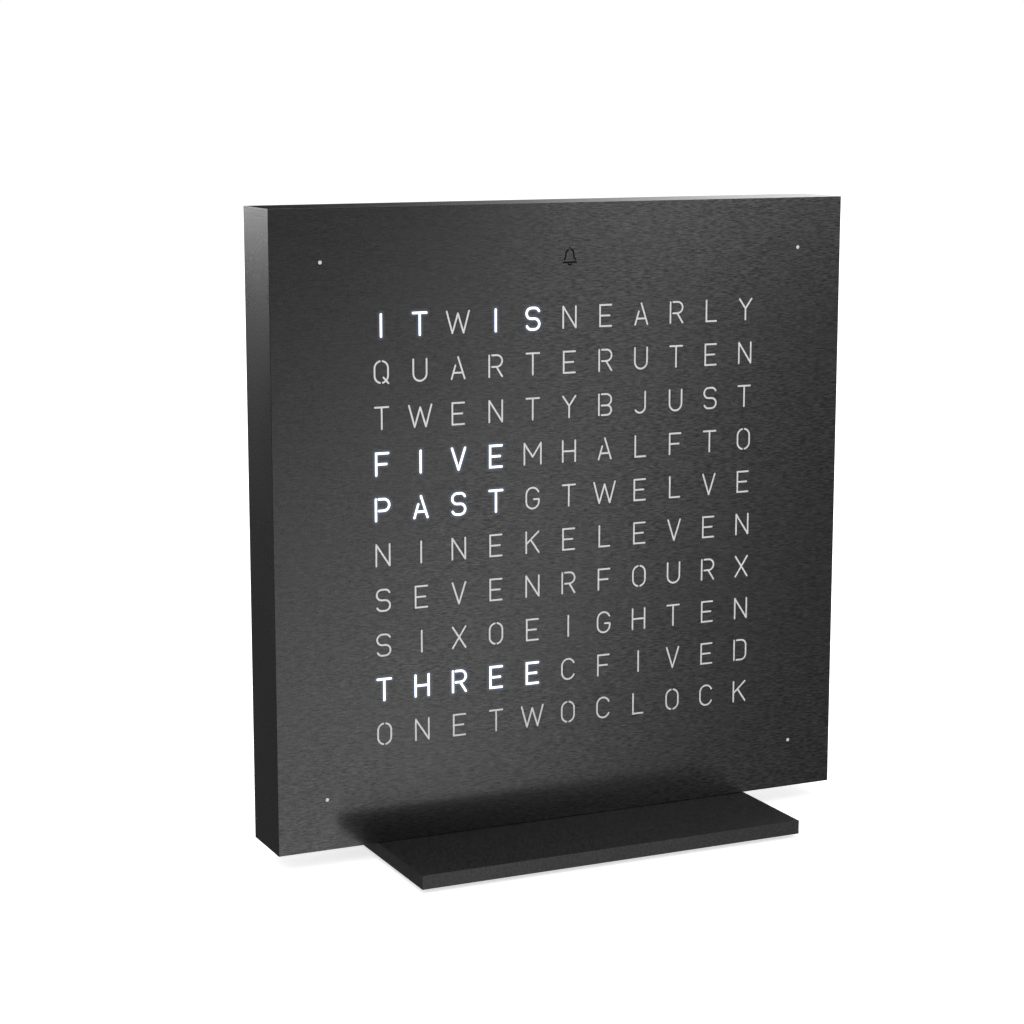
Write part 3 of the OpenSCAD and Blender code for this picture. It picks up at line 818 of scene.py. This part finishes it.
class WORDCLOCK_OT_cover(BuildStep):
    """Fold the cover from sheet, round its folds and cut the letters through it"""

    bl_idname = "word_clock.cover"
    bl_label = "Brushed Cover"

    def execute(self, context):
        cover, lettering = sheet_and_letters(context)
        size, middle = COVER_HI - COVER_LO, (COVER_HI + COVER_LO) / 2
        bm = bmesh.new()
        bmesh.ops.create_cube(bm, size=1, matrix=Matrix.Translation(middle)
                              @ Matrix.Diagonal((*size, 1)))
        bmesh.ops.delete(bm, geom=[f for f in bm.faces if f.normal.y > 0.5],
                         context="FACES_ONLY")
        shell = piece_from(bm, "shell")
        wall = shell.modifiers.new("Sheet", "SOLIDIFY")
        wall.thickness, wall.offset, wall.use_even_offset = cover.thickness, -1, True
        applied(shell)
        bm = bmesh.new()
        bm.from_mesh(shell.data)
        bpy.data.objects.remove(shell)

        def planes(vert):
            found = {axis * 2 + side for axis in range(3)
                     for side, corner in enumerate((COVER_LO, COVER_HI))
                     if abs(vert.co[axis] - corner[axis]) < 1e-6}
            return found - {3}  # the open back isn't folded
        folds = [e for e in bm.edges
                 if len(planes(e.verts[0]) & planes(e.verts[1])) == 2]
        bmesh.ops.bevel(bm, geom=folds, offset=cover.fold, offset_type="OFFSET",
                        affect="EDGES", segments=cover.fold_segments, profile=0.5,
                        material=-1, clamp_overlap=True)
        sheet = piece_from(bm, "cover_sheet", finishes()["cover_metal"],
                           finishes()["cover_flange"])

        cut_near, cut_far = FACE_Y - OVERCUT, FACE_Y + cover.thickness + OVERCUT
        bm = bmesh.new()
        glyphs = glyph_set(lettering, cut_near, cut_far, is_any)
        place_letters(bm, glyphs, lettering, is_any)
        place_glyph(bm, bell_mesh(lettering, cut_near, cut_far), 0, bell_height(lettering))
        place_dots(bm, lettering.dot / 2, cut_near, cut_far, lettering.border)
        cuts = piece_from(bm, "cuts")
        bm = bmesh.new()
        notch = (size.x - 2 * cover.thickness, 2 * cover.relief, 4 * cover.thickness)
        bmesh.ops.create_cube(bm, size=1, matrix=Matrix.Translation(
            (0, COVER_HI.y, COVER_LO.z)) @ Matrix.Diagonal((*notch, 1)))
        boolean(sheet, "DIFFERENCE", cuts, piece_from(bm, "notch"))

        bm = bmesh.new()
        bm.from_mesh(sheet.data)
        map_brush(bm)
        for face in bm.faces:
            face.material_index = 0 if face.normal.y < -0.7 else 1
        bm.to_mesh(sheet.data)
        bm.free()
        settled(sheet, "cover", "cover_metal", "front_cover")
        return {"FINISHED"}


class WORDCLOCK_OT_letters(BuildStep):
    """Fill the cut letters and dots with resin, lit where they tell the time"""

    bl_idname = "word_clock.letters"
    bl_label = "Letters and Dots"

    def execute(self, context):
        cover, lettering = sheet_and_letters(context)
        near, far = FACE_Y + lettering.sink, FACE_Y + cover.thickness
        film, rim, halo = 0.006 * MM, lettering.rim, lettering.halo

        def proud(films):
            return FACE_Y - films * film, FACE_Y

        # The rim and the halos are films, each wider than the one over it. Both are painted
        # glow round each lit letter: the rim is lit resin laid over the metal past the cut,
        # the halos are faintly emitting metal
        for name, slot, finish, span, wider, wanted in (
                ("letters_unlit", "opal_plastic", "letter_resin", (near, far), 0, is_unlit),
                ("letters_lit", "lit_letters", "lit_letters", (FACE_Y - 5 * film, far), 0,
                 is_lit),
                ("letter_glow_rims", "lit_letters", "lit_letters", proud(4), rim, is_lit),
                ("letter_halo_near", "cover_metal", "halo_near", proud(3),
                 rim + halo, is_lit),
                ("letter_halo_middle", "cover_metal", "halo_middle", proud(2),
                 rim + 2 * halo, is_lit),
                ("letter_halo_far", "cover_metal", "halo_far", proud(1),
                 rim + 3 * halo, is_lit)):
            bm = bmesh.new()
            glyphs = glyph_set(lettering, *span, wanted, wider)
            place_letters(bm, glyphs, lettering, wanted)
            if wanted is is_unlit:
                place_dots(bm, lettering.dot / 2, *span, lettering.border)
            map_brush(bm)
            settled(piece_from(bm, name, finishes()[finish]), "cover", slot)
        return {"FINISHED"}


class WORDCLOCK_OT_bell(BuildStep):
    """Fill the bell with smoked resin, dark until the alarm is set"""

    bl_idname = "word_clock.bell"
    bl_label = "Bell"

    def execute(self, context):
        cover, lettering = sheet_and_letters(context)
        bm = bmesh.new()
        place_glyph(bm, bell_mesh(lettering, FACE_Y + 2 * lettering.sink,
                                  FACE_Y + cover.thickness), 0, bell_height(lettering))
        piece = piece_from(bm, "bell_inlay", finishes()["smoked_resin"])
        settled(piece, "cover", "opal_plastic")
        return {"FINISHED"}


class WORDCLOCK_OT_buttons(BuildStep):
    """Finish the three buttons and print a plain mark on each"""

    bl_idname = "word_clock.buttons"
    bl_label = "Buttons"

    def execute(self, context):
        arm, radius, line, print_t = 1.25 * MM, 0.95 * MM, 0.5 * MM, 0.03 * MM
        ring = [(radius * x, radius * y) for x, y in bow(0, 0, 1, 0, 350, 1, 24)]
        marks = {
            "minus": [[(-arm, 0), (arm, 0)]],
            "plus": [[(-arm, 0), (arm, 0)], [(0, -arm), (0, arm)]],
            "set": [ring + [ring[0]]],
        }
        for name, strokes in marks.items():
            lo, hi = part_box(name + "_button")
            middle = (lo + hi) / 2
            bm = bmesh.new()
            place_glyph(bm, glyph_mesh(strokes, line, hi.y - print_t, hi.y + print_t),
                        middle.x, middle.z - FACE_MIDDLE_Z)
            mark = piece_from(bm, name + "_mark", finishes()["printed_mark"])
            settled(mark, name + "_key", "button_plastic")
            dress("button_plastic", name + "_button")
            dress("plunger_plastic", name + "_plunger")
        return {"FINISHED"}


class WORDCLOCK_OT_stand(BuildStep):
    """Round the stand's edges and finish it, its screws, inserts and pads"""

    bl_idname = "word_clock.stand"
    bl_label = "Stand"

    def execute(self, context):
        soften("stand", 0.2 * MM)
        dress("stand_paint", "stand")
        dress("screw_black", "stand_screws")
        dress("brass", "stand_inserts")
        dress("pad_rubber", "foot_pads")
        return {"FINISHED"}


class WORDCLOCK_OT_housing(BuildStep):
    """Finish the housing, its light box and what holds the cover"""

    bl_idname = "word_clock.housing"
    bl_label = "Housing and Light Box"

    def execute(self, context):
        dress("housing_plastic", "rear_housing")
        dress("grid_plastic", "light_grid")
        dress("opal_plastic", "opal_sheet")
        dress("plated_steel", "housing_magnets", "cover_discs", "board_screws")
        return {"FINISHED"}


class WORDCLOCK_OT_board(BuildStep):
    """Finish the circuit board and everything on it"""

    bl_idname = "word_clock.board"
    bl_label = "Circuit Board"

    def execute(self, context):
        dress("board_lacquer", "led_board")
        dress("lamp_body", "leds")
        dress("chip_epoxy", "led_drivers", "controller_chip", "time_chip",
              "voltage_regulator", "tact_switches")
        dress("tantalum_case", "smoothing_capacitors")
        dress("plated_steel", "clock_crystal", "backup_cell", "jack_pin")
        dress("inlet_plastic", "power_jack")
        dress("holder_plastic", "cell_holder", "sounder")
        return {"FINISHED"}


class WORDCLOCK_OT_stage(BuildStep):
    """Set the pale floor, the white surroundings, the soft lights and the camera"""

    bl_idname = "word_clock.stage"
    bl_label = "Studio"

    def execute(self, context):
        scene, stage = context.scene, context.scene.word_clock_stage
        bm = bmesh.new()
        bmesh.ops.create_grid(bm, x_segments=1, y_segments=1, size=6)
        bmesh.ops.translate(bm, verts=bm.verts, vec=(0, 0, -FLOOR_DROP))
        piece_from(bm, "studio_floor", studio_floor(stage.floor))
        studio_world(scene)
        for name, place, aim, size, power, seen in STUDIO_LIGHTS:
            data = bpy.data.lights.new(name, "AREA")
            data.shape, data.size, data.size_y, data.energy = "RECTANGLE", *size, power
            light = bpy.data.objects.new(name, data)
            light.location = place
            light.rotation_euler = (Vector(aim) - Vector(place)).to_track_quat(
                "-Z", "Y").to_euler()
            light.visible_camera = False
            light.visible_glossy = seen
            scene.collection.objects.link(light)
        data = bpy.data.cameras.new("studio_camera")
        data.lens, data.sensor_width = stage.lens, 36
        data.clip_start, data.clip_end = 0.01, 50
        camera = bpy.data.objects.new("studio_camera", data)
        camera.location, camera.rotation_euler = stage.camera_place, stage.camera_turn
        scene.collection.objects.link(camera)
        scene.camera = camera
        scene.view_settings.view_transform = "Standard"
        return {"FINISHED"}


# Name, place, what it is aimed at, width and height, power in watts, whether a
# shiny surface mirrors it
STUDIO_LIGHTS = (
    ("top_softbox", (-0.2, -0.1, 1.9), (0, 0, 0.07), (1.5, 1.5), 22.0, True),
    ("front_strip", (1.12, -1.66, 1.0), (0, 0, 0.9), (0.64, 2.0), 4.3, True),
    ("front_fill", (-0.9, -1.4, 1.3), (0, 0, 0.07), (1.2, 1.2), 16.0, False),
    ("back_left_softbox", (-0.85, 2.2, 0.78), (0, 0, 0.7), (1.6, 1.5), 27.0, True),
    ("back_right_softbox", (1.72, 2.05, 0.9), (0, 0, 0.5), (1.2, 1.2), 8.0, False),
)


# What shiny surfaces see in place of the white surroundings: levels are strengths,
# turns are taken from straight behind or in front, and slopes are falls per run.
ROOM_LEVEL, ELSEWHERE_LEVEL = 0.025, 0.42
WALL_LEVEL = 3.0                         # a wall that brightens behind, to the right
WALL_RISE = (math.radians(20.3), math.radians(36))
WALL_FALL = (math.radians(80), math.radians(60))
SIDE_LEVEL, SIDE_FADE = 0.3, 20          # dim walls at both sides, fade in degrees
SIDE_WALLS = ((-68, 48), (88, 36))       # middle and reach in degrees
STREAK_LEVEL, STREAK_GAIN = 1.7, 1.7     # a streak low in front: at the horizon, by slope
STREAK_TURN, STREAK_LEAN = 0.528, -0.452
STREAK_WIDTH, STREAK_SPREAD = 0.059, 0.41
STREAK_RIGHT_FLANK = 0.49                # share of the width to the right of its middle
STREAK_STEEPEST = 0.5                    # slope under which it stays the same
GROUND_FRONT, GROUND_BACK = 0.035, 0.085


def turn_from_front(w, heading):
    """The turn of a direction from straight in front towards the right."""
    return w.math("ARCTAN2", heading["X"], w.times(heading["Y"], -1.0))


def light_pool(w, heading):
    """The light that shiny surfaces see under the horizon: a soft streak in front.

    It starts under the front strip light, and leans and widens downwards, as that
    light's own reflection in a pale floor does.
    """
    run = w.math("SQRT", w.plus(w.times(heading["X"], heading["X"]),
                                w.times(heading["Y"], heading["Y"])))
    slope = w.times(w.math("DIVIDE", heading["Z"], run), -1.0)
    down = w.ranged(slope, 0.0, STREAK_STEEPEST, 0.0, STREAK_STEEPEST)
    off = w.math("SUBTRACT", turn_from_front(w, heading),
                 w.math("MULTIPLY_ADD", down, STREAK_LEAN, STREAK_TURN))
    width = w.times(w.math("MULTIPLY_ADD", down, STREAK_SPREAD, STREAK_WIDTH),
                    w.ranged(w.math("GREATER_THAN", off, 0.0), 0, 1,
                             1.0, STREAK_RIGHT_FLANK))
    ratio = w.math("DIVIDE", off, width)
    fall = w.times(w.times(ratio, ratio), -1.0)
    strength = w.math("MULTIPLY_ADD", down, STREAK_GAIN, STREAK_LEVEL)
    ground = w.ranged(heading["Y"], -0.1, 0.1, GROUND_FRONT, GROUND_BACK)
    lit = w.math("MULTIPLY_ADD", w.math("EXPONENT", fall), strength, ground)
    return w.times(lit, w.ranged(slope, 0.0, 0.03))


def studio_floor(colour):
    """A pale floor: white to the camera but for the clock's shadow on it.

    Glossy rays pass through it to the world, whose lower half takes its place.
    """
    lift = 0.66                          # brings the unshadowed floor to white
    material = bpy.data.materials.new("studio floor")
    material.use_nodes = True
    w = Wiring(material.node_tree)
    nodes = material.node_tree.nodes
    nodes.remove(nodes["Principled BSDF"])
    path = w.node("LightPath").outputs
    pale = w.node("BsdfDiffuse", {"Color": rgba(colour)}).outputs[0]
    direct = w.math("MAXIMUM", path["Is Camera Ray"], path["Is Transmission Ray"])
    glow = w.node("Emission", {"Strength": w.times(direct, lift)}).outputs[0]
    lifted = w.node("AddShader")
    w.set(lifted.inputs[0], pale)
    w.set(lifted.inputs[1], glow)
    mix = w.node("MixShader", {"Fac": path["Is Glossy Ray"]})
    w.set(mix.inputs[1], lifted.outputs[0])
    w.set(mix.inputs[2], w.node("BsdfTransparent").outputs[0])
    w.set(nodes["Material Output"].inputs["Surface"], mix.outputs[0])
    return material


def studio_world(scene):
    """Soft grey light all round that is white wherever the camera sees it.

    Shiny surfaces see a dim room in it, with one wall that brightens to the right
    behind the clock, two dim walls at its sides and a streak of light in front.
    """
    world = bpy.data.worlds.new("studio world")
    world.use_nodes = True
    w = Wiring(world.node_tree)
    path = w.node("LightPath").outputs
    heading = w.node("SeparateXYZ", {0: w.node("TexCoord").outputs["Generated"]}).outputs
    turn = w.math("ARCTAN2", heading["X"], heading["Y"])
    wall = w.times(w.ranged(turn, *WALL_RISE), w.ranged(turn, *WALL_FALL))
    above = w.math("GREATER_THAN", heading["Z"], 0.0)
    wall = w.times(w.times(wall, wall), above)
    mirrored = w.plus(w.math("MULTIPLY_ADD", wall, WALL_LEVEL, ROOM_LEVEL),
                      light_pool(w, heading))
    front = turn_from_front(w, heading)
    for middle, reach in SIDE_WALLS:
        away = w.math("ABSOLUTE", w.math("SUBTRACT", front, math.radians(middle)))
        side = w.ranged(away, math.radians(reach), math.radians(reach - SIDE_FADE))
        mirrored = w.math("MULTIPLY_ADD", side, SIDE_LEVEL, mirrored)
    direct = w.math("MAXIMUM", path["Is Camera Ray"], path["Is Transmission Ray"])
    given = w.node("Mix", {0: path["Is Glossy Ray"], 2: ELSEWHERE_LEVEL,
                           3: mirrored}).outputs[0]
    background = world.node_tree.nodes["Background"]
    w.set(background.inputs["Strength"], w.math("MAXIMUM", direct, given))
    background.inputs["Color"].default_value = (1, 1, 1, 1)
    scene.world = world


class WORDCLOCK_PT_build(bpy.types.Panel):
    """Lists the settings and the steps that build the word clock"""

    bl_label = "Word Clock"
    bl_idname = "WORDCLOCK_PT_build"
    bl_space_type = "VIEW_3D"
    bl_region_type = "UI"
    bl_category = "Word Clock"

    def draw(self, context):
        for group in SETTINGS:
            box = self.layout.box()
            settings = getattr(context.scene, group)
            for key in settings.bl_rna.properties.keys():
                if key not in ("rna_type", "name"):
                    box.prop(settings, key)
        for step in STEPS:
            self.layout.operator(step.bl_idname)


SETTINGS = {
    "word_clock_lettering": LetteringSettings,
    "word_clock_cover": CoverSettings,
    "word_clock_finish": FinishSettings,
    "word_clock_stage": StageSettings,
}
STEPS = (WORDCLOCK_OT_cover, WORDCLOCK_OT_letters, WORDCLOCK_OT_bell,
         WORDCLOCK_OT_buttons, WORDCLOCK_OT_stand, WORDCLOCK_OT_housing,
         WORDCLOCK_OT_board, WORDCLOCK_OT_stage)
CLASSES = (*SETTINGS.values(), *STEPS, WORDCLOCK_PT_build)


def register():
    for item in CLASSES:
        bpy.utils.register_class(item)
    for name, group in SETTINGS.items():
        setattr(bpy.types.Scene, name, PointerProperty(type=group))


def unregister():
    for name in SETTINGS:
        delattr(bpy.types.Scene, name)
    for item in reversed(CLASSES):
        bpy.utils.unregister_class(item)


def main():
    register()
    bpy.ops.word_clock.cover()
    bpy.ops.word_clock.letters()
    bpy.ops.word_clock.bell()
    bpy.ops.word_clock.buttons()
    bpy.ops.word_clock.stand()
    bpy.ops.word_clock.housing()
    bpy.ops.word_clock.board()
    bpy.ops.word_clock.stage()


if __name__ == "__main__":
    main()
